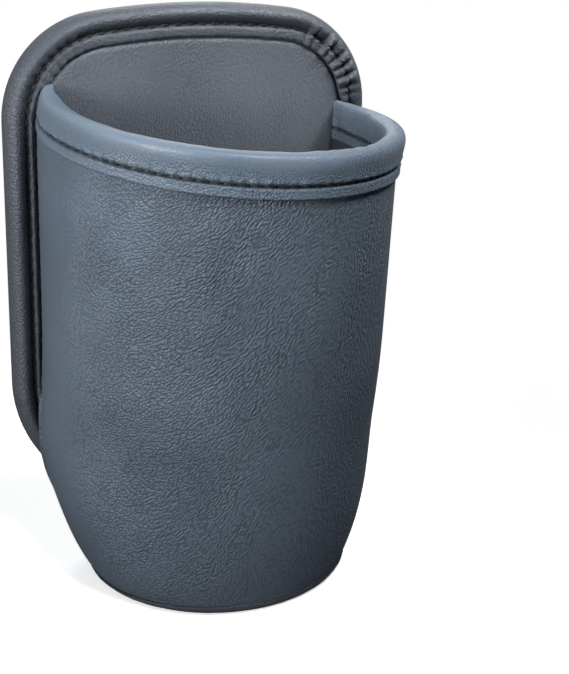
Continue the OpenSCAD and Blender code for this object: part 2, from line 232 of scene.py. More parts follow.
def twoTone(tree, source, dark, light, low=0.0, high=1.0):
    # two tones, blended between two levels of the source
    ramp = addNode(tree, "ShaderNodeValToRGB", None, {"Fac": source})
    for end, level, code in ((0, low, dark), (1, high, light)):
        element = ramp.color_ramp.elements[end]
        element.position, element.color = level, fromHex(code)
    return ramp.outputs["Color"]


def newMaterial(name, roughness, sheen=0.0, specular=0.5):
    mat = bpy.data.materials.new(name)
    mat.use_nodes = True
    shader = mat.node_tree.nodes["Principled BSDF"]
    shader.inputs["Roughness"].default_value = roughness
    shader.inputs["Sheen Weight"].default_value = sheen
    shader.inputs["Specular IOR Level"].default_value = specular
    return mat


def giveSurface(mat, colour, height, depth, strength=1.0):
    # colour, and relief with its depth in millimetres
    tree = mat.node_tree
    relief = addNode(tree, "ShaderNodeBump", {"Strength": strength, "Distance": depth * mm},
                     {"Height": height})
    shader = tree.nodes["Principled BSDF"]
    tree.links.new(colour, shader.inputs["Base Color"])
    tree.links.new(relief.outputs["Normal"], shader.inputs["Normal"])
    return mat


hide = {
    "stretch": 0.8,  # pebbles are drawn out along the hide's first direction
    "bends": ((26.0, 2.6), (5.5, 0.45)),  # size and reach of the rows' large and small bends
    "uneven": 0.9, "merge": 0.2,  # how far pebbles leave their grid, and run together
    "domeTop": 0.12, "domeFoot": 0.62,
    "fineSize": 1.3, "fineHeight": 0.7,  # small unevenness on the pebbles, by pebble size
    "creaseRun": 9.0, "creaseWidth": 0.016, "creaseFloor": 0.4,
    "patch": 11.0, "patchLow": 0.3, "patchHigh": 0.65, "patchFloor": 0.55,  # pressed less deep
    "plain": 0.95,  # level of the leather where it has no grain
    # painted shade in the furrows and a painted highlight on the pebble tops: the colour follows
    # the grain's height between these levels
    "furrowLevel": 0.3, "topLevel": 1.25, "paintedTopHighlight": 1.12,
    # the darkening in seams is painted shade
    "seamTone": 0.15,  # what is left of the colour deep in a seam
    "cloud": 34.0, "cloudLow": 0.3, "cloudHigh": 0.7,  # soft changes between the two tones
}


def leatherette(name, dark, light, pebble, depth, roughness, furrow=0.72, specular=0.5):
    # PU leatherette, pressed with a milled grain: rows of drawn-out pebbles with darker furrows and
    # a few long creases, flatter where grainShare is low. The darker furrows are painted shade, the
    # lighter pebble tops a painted highlight, and painted shade darkens the colour where seamShade
    # is high
    mat = newMaterial(name, roughness, 0.05, specular)
    tree = mat.node_tree
    place = addNode(tree, "ShaderNodeUVMap", uv_map="leatherMap").outputs["UV"]
    spot = addNode(tree, "ShaderNodeTexCoord").outputs["Object"]
    for size, by in hide["bends"]:
        noise = noiseNode(tree, size, place)
        bend = addNode(tree, "ShaderNodeVectorMath", {"Scale": by * 2 * mm},
                       {0: noise.outputs["Color"]}, operation="SCALE")
        place = addNode(tree, "ShaderNodeVectorMath", None, {0: place, 1: bend.outputs[0]},
                        operation="ADD").outputs[0]
    drawn = addNode(tree, "ShaderNodeMapping", {"Scale": (hide["stretch"], 1, 1)},
                    {"Vector": place}).outputs[0]
    cells = addNode(tree, "ShaderNodeTexVoronoi",
                    {"Scale": perMetre(pebble), "Randomness": hide["uneven"],
                     "Smoothness": hide["merge"]},
                    {"Vector": drawn}, feature="SMOOTH_F1", voronoi_dimensions="2D")
    domes = remap(tree, cells.outputs["Distance"], hide["domeTop"], hide["domeFoot"], 1.0, 0.0,
                  "SMOOTHSTEP")
    fine = noiseNode(tree, pebble * hide["fineSize"], drawn, detail=2.0, roughness=0.6)
    pebbles = calc(tree, "MULTIPLY_ADD", fine.outputs["Fac"], hide["fineHeight"], domes)
    waves = noiseNode(tree, hide["creaseRun"], drawn, distortion=0.6)
    away = calc(tree, "ABSOLUTE", calc(tree, "SUBTRACT", waves.outputs["Fac"], 0.5))
    crease = remap(tree, away, 0.0, hide["creaseWidth"], hide["creaseFloor"], 1.0, "SMOOTHSTEP")
    height = calc(tree, "MULTIPLY", pebbles, crease)
    patch = noiseNode(tree, hide["patch"], place)
    strong = remap(tree, patch.outputs["Fac"], hide["patchLow"], hide["patchHigh"],
                   hide["patchFloor"], 1.0)
    share = addNode(tree, "ShaderNodeAttribute", attribute_name="grainShare").outputs["Fac"]
    seam = addNode(tree, "ShaderNodeAttribute", attribute_name="seamShade").outputs["Fac"]
    amount = calc(tree, "MULTIPLY", share, strong)
    level = addNode(tree, "ShaderNodeMix", {"A": hide["plain"]}, {"Factor": amount, "B": height},
                    data_type="FLOAT").outputs[0]
    cloud = noiseNode(tree, hide["cloud"], spot, detail=3.0)
    tone = twoTone(tree, cloud.outputs["Fac"], dark, light, hide["cloudLow"], hide["cloudHigh"])
    # painted shade and painted highlight: the colour is darker in the furrows and lighter on the
    # pebble tops, by the grain's height
    deep = remap(tree, level, hide["furrowLevel"], hide["topLevel"], furrow, hide["paintedTopHighlight"])
    # painted shade: seamShade darkens the colour towards seamTone
    dim = remap(tree, seam, 0.0, 1.0, 1.0, hide["seamTone"])
    paint = addNode(tree, "ShaderNodeVectorMath", None,
                    {0: tone, "Scale": calc(tree, "MULTIPLY", deep, dim)}, operation="SCALE")
    return giveSurface(mat, paint.outputs[0], level, depth)


# deep milled grain on the pouch, smoother and lighter on the rim, dark and dense on the roll,
# dark and dull on the facing, nearly plain inside
pouchLeather = leatherette("leatheretteMilled", "#647180", "#728190", pebble=0.66, depth=0.27,
                           roughness=0.42, furrow=0.6)
rimLeather = leatherette("leatheretteRim", "#728393", "#8292a3", pebble=0.6, depth=0.14,
                         roughness=0.4)
rollLeather = leatherette("leatheretteRoll", "#50565e", "#5e646d", pebble=0.65, depth=0.16,
                          roughness=0.5)
facingLeather = leatherette("leatheretteFacing", "#595e67", "#676c74", pebble=0.72, depth=0.2,
                            roughness=0.46, furrow=0.7)
liningLeather = leatherette("leatheretteLining", "#434b55", "#4f5863", pebble=0.8, depth=0.08,
                            roughness=0.5, furrow=0.85)


def threadMaterial():
    # bonded polyester sewing thread: three strands twisted, dark with a faint gloss
    mat = newMaterial("polyesterThread", roughness=0.45, sheen=0.2)
    tree = mat.node_tree
    place = addNode(tree, "ShaderNodeTexCoord").outputs["Object"]
    twist = addNode(tree, "ShaderNodeTexWave", {"Scale": perMetre(0.5), "Distortion": 1.0},
                    {"Vector": place}, bands_direction="DIAGONAL").outputs["Fac"]
    tone = twoTone(tree, twist, "#14161a", "#2c3037")
    return giveSurface(mat, tone, twist, depth=0.08, strength=0.8)


def poreMaterial(name, dark, light, size, depth, roughness):
    # cut foam or pressed board: fine pores or fibres in two tones
    mat = newMaterial(name, roughness)
    tree = mat.node_tree
    place = addNode(tree, "ShaderNodeTexCoord").outputs["Object"]
    pores = noiseNode(tree, size, place, detail=4.0, roughness=0.65).outputs["Fac"]
    tone = twoTone(tree, pores, dark, light, 0.35, 0.65)
    return giveSurface(mat, tone, pores, depth, strength=0.9)


thread = threadMaterial()
padFoam = poreMaterial("polyethyleneFoam", "#1c1c1e", "#2a2a2c", size=0.8, depth=0.12,
                       roughness=0.8)
fibreBoard = poreMaterial("pressedFibreBoard", "#6d5b45", "#85715a", size=1.5, depth=0.05,
                          roughness=0.75)
softFoam = poreMaterial("polyurethaneFoam", "#8f8e88", "#a9a8a2", size=0.9, depth=0.15,
                        roughness=0.9)
print("materials made")


panel = {
    "width": 97.4, "top": 142.8, "bottom": 13.0,
    "topRadius": 26.0, "bottomRadius": 36.0, "crownRadius": 200.0,
    "strip": 7.9, "sewnStrip": 6.2, "stitchIn": 5.0, "pitch": 3.4,
    "sewnProbe": 7.0, "sewnLow": 44.0, "sewnEase": 5.0,  # where the pouch's wall is sewn in
    "sewnLeft": 124.2, "sewnRight": 117.0, "sewnOver": 2.6,
    "rightFolds": 1.25, "leftFolds": 0.5, "plainFolds": 0.16,
    "foldShift": 0.16, "foldMix": 1.2, "foldRound": 0.75,
}


def outlinePieces():
    # each piece: start length, x, z, heading and curvature; anticlockwise from the bottom's middle
    w, rt, rb = panel["width"] / 2, panel["topRadius"], panel["bottomRadius"]
    rc = panel["crownRadius"]
    lean = math.asin((w - rt) / (rc - rt))
    topZ = panel["top"] - rc + (rc - rt) * math.cos(lean)
    q, side = math.pi / 2, topZ - panel["bottom"] - rb
    half = [(w - rb, 0), (rb * q, 1 / rb), (side, 0), (rt * (q - lean), 1 / rt)]
    out, s, x, z, a = [], 0.0, 0.0, panel["bottom"], 0.0
    for length, k in half + [(rc * 2 * lean, 1 / rc)] + half[::-1]:
        out.append((s, x, z, a, k))
        turned = a + k * length
        if k:
            x = x + (math.sin(turned) - math.sin(a)) / k
            z = z - (math.cos(turned) - math.cos(a)) / k
        else:
            x, z = x + length * math.cos(a), z + length * math.sin(a)
        s, a = s + length, turned
    return np.array(out), s, topZ


pieces, outlineLength, topZ = outlinePieces()
bottomZ = panel["bottom"] + panel["bottomRadius"]
stitchCount = int(round(outlineLength / panel["pitch"]))
rightStart, leftStart = pieces[3, 0], pieces[5, 0]
cornerRun = pieces[4, 0] - rightStart


def outlineAt(s):
    # place and heading at arc length s: straight runs and arcs joined tangent to tangent
    s = np.mod(s, outlineLength)
    row = pieces[np.clip(np.searchsorted(pieces[:, 0], s, "right") - 1, 0, len(pieces) - 1)]
    s0, x0, z0, a0, k = np.moveaxis(row, -1, 0)
    d, safe = s - s0, np.where(k == 0, 1, k)
    a = a0 + k * d
    x = x0 + np.where(k == 0, d * np.cos(a0), (np.sin(a) - np.sin(a0)) / safe)
    z = z0 + np.where(k == 0, d * np.sin(a0), -(np.cos(a) - np.cos(a0)) / safe)
    return x, z, a


def insetPoint(s, inset, y):
    # point a distance inside the outline, at plane y; the inward side lies left of the heading
    x, z, a = outlineAt(s)
    return np.stack(np.broadcast_arrays(x - inset * np.sin(a), y, z + inset * np.cos(a)), -1)


def sewnShare(s):
    # 1 beside the pouch, where the strip is trimmed back and the wall comes out of the seam
    x, z, a = outlineAt(s)
    x, z = x - panel["sewnProbe"] * np.sin(a), z + panel["sewnProbe"] * np.cos(a)
    top = np.where(x < 0, panel["sewnLeft"], panel["sewnRight"]) + panel["sewnOver"]
    ease = panel["sewnEase"]
    return smoothStep((z - panel["sewnLow"]) / ease) * smoothStep((top - z) / ease)


def inRight(s):  # 1 in the right corner, where the binding is gathered most
    right = (s - rightStart) / cornerRun
    return smoothStep((right + 0.1) / 0.25) * smoothStep((1.0 - right) / 0.4)


def foldSize(s):
    # height of the gathers: strongest low in the right corner, gentle in the left, faint elsewhere
    left = (s - leftStart) / cornerRun
    inLeft = smoothStep((left + 0.05) / 0.3) * smoothStep((1.05 - left) / 0.3)
    return panel["plainFolds"] + panel["rightFolds"] * inRight(s) + panel["leftFolds"] * inLeft


foldJitter = np.random.default_rng(41).uniform(0.55, 1.25, stitchCount)


def foldShape(s):
    # rounded ridges between the stitches, meeting in sharp valleys where the thread pulls down
    k = np.mod(s, outlineLength) * stitchCount / outlineLength
    k = k + panel["foldShift"] * noise1(k * 1.3, 47) * inRight(s)
    cell = np.floor(k).astype(int) % stitchCount
    height = foldJitter[cell] ** (1 + panel["foldMix"] * inRight(s))
    return height * np.abs(np.sin(np.pi * k)) ** panel["foldRound"]


binding = {
    # inset and y: up the door side, round the outside, through the stitched groove to the raw
    # edge, and back along the inner face
    "section": [(8.3, -1.75), (8.2, -1.3), (7.4, -1.15), (6.2, -1.2), (5.5, -1.5), (5.0, -1.9),
                (4.5, -1.45), (3.6, -0.95), (2.4, -0.75), (1.1, -1.35), (0.25, -2.9), (0.0, -4.8),
                (0.2, -6.6), (0.85, -8.1), (1.95, -9.05), (3.0, -8.95), (3.9, -8.3), (4.6, -7.4),
                (5.0, -7.1), (5.35, -7.6), (5.75, -8.25), (6.4, -8.42), (7.4, -8.38), (7.85, -8.2),
                (7.9, -7.7), (7.7, -7.2), (6.6, -7.0), (4.5, -6.9), (2.9, -6.5), (2.4, -4.6),
                (2.6, -2.6), (4.5, -2.1), (7.0, -2.05), (8.1, -1.98)],
    "rows": 1096, "points": 90,
    "frontY": -6.75, "reliefY": -7.0, "gatherY": -6.9, "bridgeY": -6.95, "rearY": -2.0,
    "rawFrom": 5.6, "rawWide": 2.3, "rawWander": 0.16, "rawPull": 0.12,  # the strip's raw edge
    "foldsFrom": 2.2, "foldsOver": 1.5, "foldsRise": 2.8,  # the strong folds run over the crown
    "sewnFlat": 0.55,  # share of the folds' height that is lost beside the pouch
    "grooveAt": (4.9, 0.9),
    "ledge": 0.26, "ledgeAt": (5.35, 0.55),
    "soft": 0.16, "softAt": (1.8, 1.8),
    "bridge": 0.75, "bridgeAt": (5.0, 0.7),  # a fold that swells over the thread
    "rear": 0.14, "rearAt": (5.0, 1.2),
    # where painted shade darkens the stitch groove, the roll's inner slope beside it, and the
    # valleys between the gathers
    "grooveShadeAt": (4.85, 0.55), "besideShadeAt": (4.0, 1.4), "valleyShadeAt": (5.2, 2.4),
    # painted shade along the strip's raw edge
    "rawY": -7.9, "rawIn": 6.0, "rawShade": 0.9,
    "grain": 0.6,
}


def bindingPiece():
    # the binding's section carried round the outline, gathered by its stitches
    s = np.linspace(0, outlineLength, binding["rows"], endpoint=False)[:, None]
    section = curvePath(binding["section"], binding["points"], closed=True)
    inset, y = section[:, 0][None, :], section[:, 1][None, :]
    front, onFace = y < binding["frontY"], y < binding["reliefY"]
    share, right, fold = sewnShare(s), inRight(s), foldShape(s)
    rawFrom = binding["rawFrom"]
    cutBack = (panel["strip"] - panel["sewnStrip"]) / (panel["strip"] - rawFrom)
    wander = binding["rawWander"] * noise1(s * 0.35, 17) + binding["rawPull"] * fold
    kept = 1 - share * cutBack + wander / binding["rawWide"]
    inset2 = np.where(front & (inset > rawFrom), rawFrom + (inset - rawFrom) * kept, inset)
    start = binding["foldsFrom"] - binding["foldsOver"] * right
    reach = smoothStep((inset - start) / binding["foldsRise"])
    reach = reach * (0.55 + 0.6 * bump(inset, *binding["grooveAt"]))
    reach = reach * smoothStep((binding["gatherY"] - y) / 0.7)
    ledge = binding["ledge"] * fold * bump(inset, *binding["ledgeAt"]) * onFace
    soft = binding["soft"] * noise1(s * 0.12, 3) * bump(inset, *binding["softAt"]) * onFace
    bridge = binding["bridge"] * right * fold * bump(inset, *binding["bridgeAt"])
    bridge = bridge * (y < binding["bridgeY"])
    rear = binding["rear"] * fold * bump(inset, *binding["rearAt"]) * (y > binding["rearY"])
    gather = fold * foldSize(s) * reach * (1 - binding["sewnFlat"] * share)
    grid = insetPoint(s + 0 * inset, inset2, y - gather - ledge - soft - bridge + rear)
    flat = np.stack(np.broadcast_arrays(s, lengthAlong(section)[None, :]), -1)
    # painted shade: darker in the stitch groove, on the roll's inner slope (more beside the pouch),
    # in the valleys between the gathers and along the raw edge, less where a fold bridges the
    # groove
    dip = 1 - np.clip(fold, 0, 1)
    unbridged = 1 - 0.8 * right * (1 - dip)
    groove = bump(inset, *binding["grooveShadeAt"]) * (0.6 + 0.4 * dip) * unbridged
    beside = (0.3 + 0.4 * share) * bump(inset, *binding["besideShadeAt"]) * unbridged
    valley = 0.7 * bump(inset, *binding["valleyShadeAt"]) * dip
    valley = valley * np.clip(foldSize(s) * 1.2 - 0.15, 0, 1)
    rawEdge = front & (y > binding["rawY"]) & (inset > binding["rawIn"])
    shade = (groove + beside + valley) * onFace + rawEdge * binding["rawShade"]
    return makeMesh("edgeRoll", grid, loopFaces(grid, True), rollLeather,
                    ["edge_binding"], flat, binding["grain"], np.clip(shade, 0, 1))


bindingPiece()
print("edge roll made")


facing = {
    "inset": 5.8, "frontY": -6.8, "backY": -6.05, "over": 0.1,
    "stepIn": 1.6, "stepRun": 1.8, "sewnIn": 0.8, "sewnRun": 1.4,  # the step beside the strip
    "rise": 1.15, "crown": 0.9, "crownRun": 22.0, "hollows": 0.8,
    "fold": 0.6, "foldAt": (6, 7), "foldLean": 0.25,  # one soft fold and one soft trough
    "trough": 0.4, "troughAt": (20, 5), "troughLean": 0.2, "leanZ": 110,
}
cover = {"inset": 2.6, "frontY": -2.8, "backY": -2.0, "round": 0.25, "roundRun": 1.5}
sheetMiddle = np.array([0, 0, 80.0])


def panelSheet(name, edgeInset, frontAt, backAt, material, nodes, rings=80, around=440):
    # closed sheet in polar form: rows run round the outline, columns out to the edge and back,
    # a little closer together towards it
    s = np.linspace(0, outlineLength, around, endpoint=False)[:, None]
    f = np.linspace(0.005, 1, rings)[None, :] ** 0.75
    edge = insetPoint(s, edgeInset, 0.0)
    a = outlineAt(s)[2]
    inward = np.stack([-np.sin(a), 0 * a, np.cos(a)], -1)
    # distance in from the edge, along the outline's normal
    depth = np.einsum("...k,...k->...", sheetMiddle - edge, inward) * (1 - f)
    flat = sheetMiddle + (edge - sheetMiddle) * f[..., None]
    x, z = flat[..., 0], flat[..., 2]
    grid = outAndBack(np.stack([x, frontAt(x, z, depth, s), z], -1),
                      np.stack([x, backAt(x, z, depth, s), z], -1))
    points = np.vstack([grid.reshape(-1, 3), grid[:, 0].mean(0), grid[:, -1].mean(0)])
    hideMap = np.stack([points[:, 0] * 1.3, points[:, 2] - 0.6 * points[:, 0]], 1)
    return makeMesh(name, points, polarFaces(grid), material, nodes, hideMap, 0.6)


def levelAt(y):  # a face at one plane
    return lambda x, z, depth, s: y + 0 * depth


def facingFront(x, z, depth, s):
    # a step up close to the strip, kept low beside the wall, then a soft uneven crown
    share = sewnShare(s)
    rise = smoothStep((depth - facing["stepIn"] - facing["sewnIn"] * share)
                      / (facing["stepRun"] + facing["sewnRun"] * share))
    up = z - facing["leanZ"]
    folds = facing["hollows"] * noise2(x / 13, z / 20, 5)
    folds = folds + facing["fold"] * bump(x - facing["foldLean"] * up, *facing["foldAt"])
    folds = folds - facing["trough"] * bump(x - facing["troughLean"] * up, *facing["troughAt"])
    pillow = (facing["crown"] + folds) * smoothStep(depth / facing["crownRun"])
    return facing["frontY"] - facing["over"] - facing["rise"] * rise - pillow


def coverBack(x, z, depth, s):  # flat on the door side, rounded off at its edge
    return cover["backY"] - cover["round"] * (1 - smoothStep(depth / cover["roundRun"]))


padded = panelSheet("paddedFacing", facing["inset"], facingFront, levelAt(facing["backY"]),
                    facingLeather, ["back_facing"])
panelSheet("rearCover", cover["inset"], levelAt(cover["frontY"]), coverBack, rollLeather,
           ["rear_cover"], rings=60, around=360)
print("facing and rear cover made")


pouch = {
    "seamIn": 0.992, "seamStrip": 6.3, "mouthBulge": 1.3, "mouthDeep": 62.4,
    "kneeBulge": 2.5, "kneeDeep": 52.6, "kneeZ": 32.2, "kneeRound": 1.45, "kneeTuck": 0.4,
    "baseWidth": 63.8, "baseDeep": 48.6, "baseRear": 50.0,
    "rimLeft": 125.0, "rimFront": 118.5, "rimRight": 117.0,
    "leaveZ": bottomZ - 2, "tuckZ": bottomZ + 6, "flapY": -9.9, "facingY": facing["frontY"],
    "turnLow": 22.0, "turnHigh": 64.0, "soften": 8.0, "softenFrom": 5.0, "softenRun": 16.0,
    "skin": 0.8, "skinShare": 0.7, "wall": 2.8, "pinch": 0.5, "pinchRun": 0.08, "run": 165.0,
    "grainSlope": 0.9, "grainTurn": 26.0, "grainMiddle": 42.0,  # the grain hangs in a wide curve
}
pouch["seamHalf"] = panel["width"] / 2 - pouch["seamStrip"] - pouch["seamIn"]


def rimHeight(f):  # the rim's crest, from the left rear edge to the right one
    mean = (pouch["rimLeft"] + pouch["rimRight"]) / 2
    level = pouch["rimLeft"] + (pouch["rimRight"] - pouch["rimLeft"]) * f
    return level + (pouch["rimFront"] - mean) * np.sin(np.pi * f)


def pouchSize(z, base, knee, mouth):  # straight taper above the knee, rounded in to the base
    slope = (mouth - knee) / (pouch["rimFront"] - pouch["kneeZ"])
    low = knee - slope * pouch["kneeZ"]
    f = np.clip(z / pouch["kneeZ"], 0, 1)
    swell = (1 - (1 - f) ** pouch["kneeRound"]) ** (1 / pouch["kneeRound"])
    return knee + slope * (z - pouch["kneeZ"]) - (low - base) * (1 - swell)


def softened(shape, z):
    # mean over a short stretch of height, so that one curve runs into the next
    reach = pouch["soften"] * smoothStep((z - pouch["softenFrom"]) / pouch["softenRun"])
    return sum(shape(z + reach * k) for k in np.linspace(-1, 1, 9)) / 9


def wallHalf(z):
    half = pouch["seamHalf"]
    return pouchSize(z, pouch["baseWidth"] / 2, half + pouch["kneeBulge"],
                     half + pouch["mouthBulge"])


def wallDeep(z):
    return pouchSize(z, pouch["baseDeep"], pouch["kneeDeep"], pouch["mouthDeep"])


def seamHalf(z):  # half width between the wall's rear edges in the seam
    r = panel["topRadius"] - pouch["seamStrip"]
    over = np.clip(z - topZ, 0, r - 0.01)
    return (panel["width"] / 2 - panel["topRadius"] + np.sqrt(r ** 2 - over ** 2)
            - pouch["seamIn"])


def cutShare(z):
    # how far behind its middle the oval is cut off, as a share of its depth: little at the knee,
    # more in the seam
    low = np.clip(z, 0, pouch["kneeZ"])
    half, share = wallHalf(low), low / pouch["kneeZ"]
    baseTuck = (pouch["baseWidth"] - pouch["baseRear"]) / 2
    rear = half - (baseTuck * (1 - share) + pouch["kneeTuck"] * share)
    lowCut = np.sqrt(1 - (rear / half) ** 2)
    high = np.maximum(z, pouch["leaveZ"])
    highCut = np.sqrt(1 - (seamHalf(high) / wallHalf(high)) ** 2)
    turn = smoothStep((z - pouch["turnLow"]) / (pouch["turnHigh"] - pouch["turnLow"]))
    return lowCut + (highCut - lowCut) * turn


def wallPoint(f, z, t):
    # a D: an oval cut off by the panel, at depth t inside the outer face, pressed thin at both ends
    f, z, t = np.broadcast_arrays(f, z, t)
    share = np.clip((z - pouch["leaveZ"]) / (pouch["tuckZ"] - pouch["leaveZ"]), 0, 1)
    rearY = pouch["flapY"] + (pouch["facingY"] - pouch["flapY"]) * share
    half, cut, deep = softened(wallHalf, z), softened(cutShare, z), softened(wallDeep, z)
    press = smoothStep(np.minimum(f, 1 - f) / pouch["pinchRun"])
    inner = t * (pouch["pinch"] + (1 - pouch["pinch"]) * press)
    semi = (deep - pouch["skin"]) / (1 + cut)
    middle = pouch["facingY"] - pouch["skin"] - semi * cut
    # the outer face ends in front of the flap, the deeper ones on it
    shorter = pouch["skin"] * (1 - smoothStep(t / pouch["skinShare"]))
    end = np.arcsin(np.clip((middle - rearY + shorter) / (semi - inner), -1, 1))
    turn = (np.pi - end) + (2 * end - np.pi) * f
    return np.stack([(half - inner) * np.cos(turn), middle - (semi - inner) * np.sin(turn), z], -1)


def wallShell(name, material, nodes, rows, columns, low, drop, outerAt, innerAt, grain=1.0):
    # two faces of one layer, from a height up to a distance below the crest, joined at all edges
    f = np.linspace(0, 1, rows)[:, None]
    v = np.linspace(0, 1, columns)[None, :]
    z = low + (rimHeight(f) - drop - low) * v
    outer = wallPoint(f, z, outerAt(f, z, v) if callable(outerAt) else outerAt)
    inner = wallPoint(f, z, innerAt)
    step = np.linalg.norm(np.diff(outer, axis=0), axis=-1)
    run = np.concatenate([np.zeros((1, columns)), np.cumsum(step, 0)])
    run = run - run[rows // 2][None, :]
    grid = outAndBack(outer, inner)
    bent = np.log(np.cosh((run + pouch["grainMiddle"]) / pouch["grainTurn"]))
    flat = np.stack([run, z - pouch["grainSlope"] * pouch["grainTurn"] * bent], -1)
    share = np.broadcast_to(grain(f, v) if callable(grain) else grain, z.shape)
    return makeMesh(name, grid, loopFaces(grid), material, nodes, outAndBack(flat, flat),
                    outAndBack(share, share))


def sleeveRelief(f, z, v):
    # very soft hollows in the middle, and a scallop at each stitch along the rear edges
    end = np.minimum(f, 1 - f)
    hollow = 0.16 * noise2(f * 12, v * 9, 11) * np.sin(np.pi * v) * smoothStep(end / 0.1)
    nick = 0.10 * (np.cos(2 * np.pi * z / panel["pitch"]) - 1) * np.exp(-end / 0.012)
    return -hollow - nick


def sleeveGrain(f, v):  # stretched flat near the seams, full in the front
    full = 0.88 * smoothStep((f - 0.06) / 0.18) * smoothStep((1.0 - f) / 0.12)
    return 0.12 + full * (0.75 + 0.25 * v)


sleeve = wallShell("pouchSleeve", pouchLeather, ["sleeve_outer"], 300, 160,
                   low=1.6, drop=8.4, outerAt=sleeveRelief, innerAt=0.72, grain=sleeveGrain)
wallShell("stiffSheet", fibreBoard, ["sleeve_core"], 200, 60,
          low=2.2, drop=3.0, outerAt=0.85, innerAt=1.95)
lining = wallShell("pouchLining", liningLeather, ["sleeve_lining"], 220, 90,
                   low=3.1, drop=8.4, outerAt=2.05, innerAt=2.8, grain=0.7)
print("sleeve, stiff sheet and lining made")


rim = {
    # distance below the crest and depth: the outer leg with its groove, from the raw edge up, and
    # the line that lies on the wall; the inner leg is the outer one mirrored
    "leg": [(10.1, -0.35), (10.35, -0.6), (10.2, -0.85), (9.4, -0.88), (8.5, -0.86), (7.85, -0.75),
            (7.5, -0.1), (7.3, 0.2), (7.1, -0.1), (6.7, -0.8), (5.8, -1.05), (4.2, -1.25),
            (2.6, -1.35), (1.2, -1.1), (0.35, -0.35)],
    "under": [(9.6, 2.86), (6.0, 2.84), (1.8, 2.75), (1.5, 1.4), (1.8, 0.05), (6.0, -0.04),
              (9.6, -0.08)],
    "rows": 700, "points": 116, "faceFrom": 1.45, "faceEase": 0.15,
    "stitches": 56, "stitchDown": 7.3, "folds": 0.34, "foldRound": 0.8,
    "waves": 0.15, "wavesAt": (3.2, 2.2),
    "aboveGrooveAt": (6.6, 0.7), "belowGrooveAt": (7.9, 0.5),  # the folds stand on both sides
    "rawFrom": 9.2, "rawWander": 0.10,
    "crestWave": 0.12, "rightWave": 0.3, "crestAt": (0.0, 1.8),
    # painted shade along the raw edge
    "edgeFrom": 9.9, "edgeHalf": 2.1, "edgeShade": 0.9,
}
rimJitter = np.random.default_rng(43).uniform(0.5, 1.3, rim["stitches"] + 1)


def rimPiece():
    # folded strip over the wall's top: two legs with a stitched groove in each, and a round crest
    middle = pouch["wall"] / 2
    innerLeg = [(down, pouch["wall"] - t) for down, t in reversed(rim["leg"])]
    section = curvePath(rim["leg"] + [(0.0, middle)] + innerLeg + rim["under"], rim["points"],
                        closed=True)
    f = np.linspace(0, 1, rim["rows"])[:, None]
    down, t = section[:, 0][None, :], section[:, 1][None, :]
    run = f * pouch["run"]
    k = f * rim["stitches"]
    ridge = rimJitter[np.floor(k).astype(int)] * np.abs(np.sin(np.pi * k)) ** rim["foldRound"]
    offMiddle = np.abs(t - middle)
    faceOut = np.where(t < middle, 1.0, -1.0)
    faceOut = faceOut * smoothStep((offMiddle - rim["faceFrom"]) / rim["faceEase"])
    folds = bump(down, *rim["aboveGrooveAt"]) + 0.7 * bump(down, *rim["belowGrooveAt"])
    waves = rim["waves"] * noise1(run * 0.22, 8) * bump(down, *rim["wavesAt"])
    t2 = t - faceOut * (rim["folds"] * ridge * folds + waves)
    wave = rim["rightWave"] * smoothStep((f - 0.45) / 0.15) * smoothStep((0.95 - f) / 0.15)
    crest = (rim["crestWave"] + wave) * noise1(run * 0.3, 12)
    crest = crest * bump(down, *rim["crestAt"]) * smoothStep((t - 0.4) / 1.6)
    raw = rim["rawWander"] * noise1(run * 0.5, 9) * (down > rim["rawFrom"])
    grid = wallPoint(f + 0 * down, rimHeight(f) - (down + raw + crest), t2)
    flat = np.stack(np.broadcast_arrays(run * 1.3, lengthAlong(section)[None, :]), -1)
    # painted shade: darker in the stitch groove, more between the folds, and along the raw edge
    dip = 1 - np.clip(ridge, 0, 1)
    groove = bump(down, rim["stitchDown"], 0.55) * (0.7 + 0.3 * dip)
    shade = groove + 0.25 * bump(down, rim["stitchDown"], 1.4) * dip
    rawEdge = (down > rim["edgeFrom"]) & (offMiddle < rim["edgeHalf"])
    shade = np.clip(np.where(rawEdge, rim["edgeShade"], shade), 0, 1)
    front = smoothStep((down - 2.5) / 2.5) * smoothStep((f - 0.06) / 0.2)
    grain = np.maximum(0.25 + 0.75 * front, 0.25 + 0.7 * smoothStep((f - 0.45) / 0.2)) + 0 * shade
    return makeMesh("rimRoll", grid, loopFaces(grid), rimLeather, ["rim_binding"],
                    flat, grain, shade)


rimPiece()
print("rim made")


strand = {
    "rings": 8, "sides": 8, "half": 0.35,  # half a stitch's length, as a share of the pitch
    "sink": 0.75, "bow": 0.8, "tip": 0.02,  # its ends dip into the holes and grow thin
    "edgeWide": 0.7, "edgeHigh": 0.5, "edgeWobble": 0.12,
    "edgeRows": ((-7.5, -1.0), (-1.62, 1.0)),  # y of each row, and its way out
    "rimWide": 0.62, "rimHigh": 0.45,
}


def stitchRow(name, start, stop, out, width, height, nodes):
    # each stitch is a short arched strand from hole to hole: an oval section on a bowed line
    rings, sides = strand["rings"], strand["sides"]
    u = np.linspace(0, 1, rings)[None, :, None]
    a = np.linspace(0, 2 * np.pi, sides, endpoint=False)[None, None, :]
    along = stop - start
    side = np.cross(along / np.linalg.norm(along, axis=1, keepdims=True), out)
    arch = 1 - (2 * u - 1) ** 4
    taper = np.sqrt(np.clip(1 - (2 * u - 1) ** 6, strand["tip"], 1))
    start, along, side, out = (part[:, None, None, :] for part in (start, along, side, out))
    centre = (start + along * u[..., None]
              + out * (height * (arch - strand["sink"]) * strand["bow"])[..., None])
    ring = (side * (np.cos(a) * width / 2 * taper)[..., None]
            + out * (np.sin(a) * height / 2 * taper)[..., None])
    first = (np.arange(len(start)) * rings * sides)[:, None, None]
    faces = [gridFaces(rings, sides, False, True), np.concatenate(endCaps(rings, sides))]
    faces = [(part[None] + first).reshape(-1, 4) for part in faces]
    return makeMesh(name, centre + ring, faces, thread, nodes)


